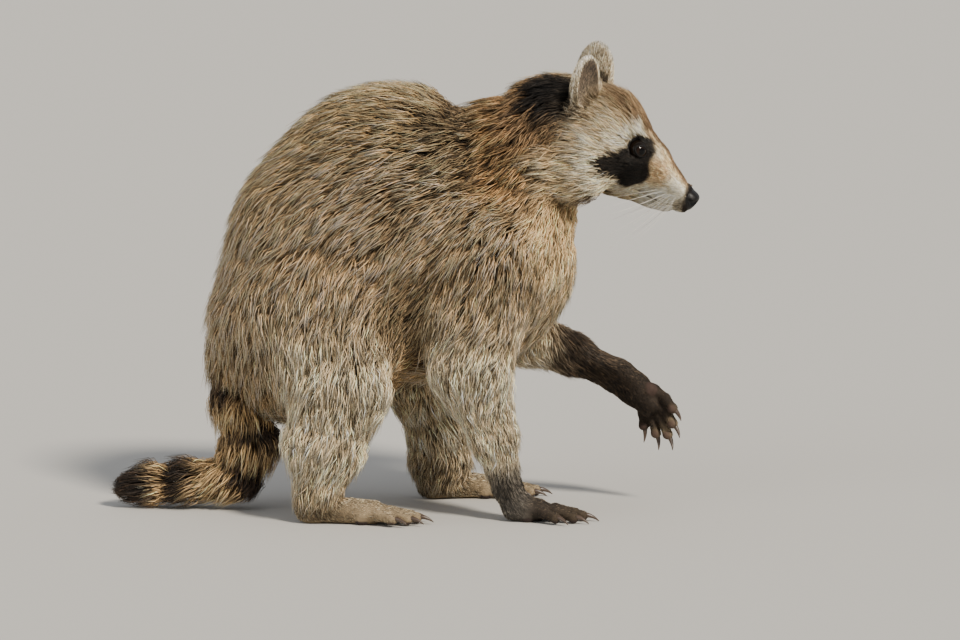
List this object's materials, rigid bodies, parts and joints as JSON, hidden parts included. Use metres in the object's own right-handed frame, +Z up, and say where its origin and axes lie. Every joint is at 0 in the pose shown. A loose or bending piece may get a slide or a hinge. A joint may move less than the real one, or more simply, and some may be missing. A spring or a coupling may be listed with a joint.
{
  "type": "raccoon",
  "caption": "Life-size raccoon model on three feet with back arched, head low and left forepaw held out, its ringed tail bent along the ground.",
  "frame": {"origin": "on the ground under the middle of the animal's bounding box", "axes": "+X the way the animal faces, from tail to nose; +Y towards its left side; +Z up from the ground it stands on"},
  "size_m": [0.4242, 0.1968, 0.3369],
  "materials": {
    "fur_grey": "grizzled grey-brown fur with cream tips",
    "fur_brown": "ginger-brown fur of the neck",
    "fur_pale": "pale fur of the face with a black mask",
    "fur_ringed": "bushy fur in pale and dark rings",
    "paw": "short dark fur over bare dark pads",
    "nose": "moist black pebbled skin",
    "eye": "dark brown, wet and glossy",
    "claw": "brown horn"
  },
  "bodies": {
    "root": {"nose": "nose", "ear_left": "fur_grey", "ear_right": "fur_grey", "head": "fur_pale", "paw_fore_right": "paw", "paw_fore_left": "paw", "foot_hind_right": "paw", "foot_hind_left": "paw", "tail_tip": "fur_ringed", "tail_root": "fur_ringed", "leg_fore_right": "fur_grey", "leg_hind_right": "fur_grey", "leg_hind_left": "fur_grey", "leg_fore_left": "fur_grey", "neck": "fur_brown", "trunk": "fur_grey", "eye_left": "eye", "eye_right": "eye", "claw_fore_right_1": "claw", "claw_fore_right_2": "claw", "claw_fore_right_3": "claw", "claw_fore_right_4": "claw", "claw_fore_right_5": "claw", "claw_fore_left_1": "claw", "claw_fore_left_2": "claw", "claw_fore_left_3": "claw", "claw_fore_left_4": "claw", "claw_fore_left_5": "claw", "claw_hind_right_1": "claw", "claw_hind_right_2": "claw", "claw_hind_right_3": "claw", "claw_hind_right_4": "claw", "claw_hind_right_5": "claw", "claw_hind_left_1": "claw", "claw_hind_left_2": "claw", "claw_hind_left_3": "claw", "claw_hind_left_4": "claw", "claw_hind_left_5": "claw"}
  },
  "joints": []
}
